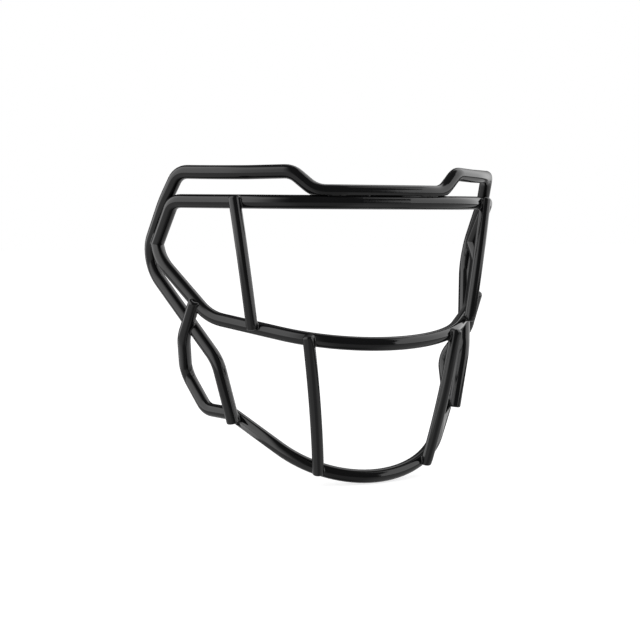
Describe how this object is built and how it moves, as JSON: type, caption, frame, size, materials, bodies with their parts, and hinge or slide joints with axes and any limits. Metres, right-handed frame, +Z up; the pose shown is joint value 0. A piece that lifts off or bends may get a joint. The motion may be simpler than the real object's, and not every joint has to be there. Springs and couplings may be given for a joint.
{
  "type": "football helmet facemask",
  "caption": "Welded wire facemask for a football helmet: bent rods with a dipped brow, open eye field, upright posts, side loops and a deep chin bar, under a gloss black coat.",
  "frame": {"origin": "middle of the brow bar, on its centre line", "axes": "+X towards the wearer's left, -Y out of the front of the mask, +Z up as worn"},
  "size_m": [0.2088, 0.1027, 0.1681],
  "materials": {
    "rod_coat": "gloss",
    "weld_coat": "gloss"
  },
  "bodies": {
    "root": {"brow_bar": "rod_coat", "middle_bar": "rod_coat", "top_rail": "rod_coat", "jaw_bar": "rod_coat", "eye_post_left": "rod_coat", "eye_post_right": "rod_coat", "mouth_post_left": "rod_coat", "mouth_post_right": "rod_coat", "dip_weld_left": "weld_coat", "dip_weld_right": "weld_coat", "apex_weld_left": "weld_coat", "apex_weld_right": "weld_coat", "jaw_end_weld_left": "weld_coat", "jaw_end_weld_right": "weld_coat", "jaw_crossing_weld_left": "weld_coat", "jaw_crossing_weld_right": "weld_coat", "foot_weld_left": "weld_coat", "foot_weld_right": "weld_coat", "eye_post_top_weld_left": "weld_coat", "eye_post_top_weld_right": "weld_coat", "eye_post_foot_weld_left": "weld_coat", "eye_post_foot_weld_right": "weld_coat", "mouth_post_top_weld_left": "weld_coat", "mouth_post_top_weld_right": "weld_coat", "mouth_post_foot_weld_left": "weld_coat", "mouth_post_foot_weld_right": "weld_coat"}
  },
  "joints": []
}
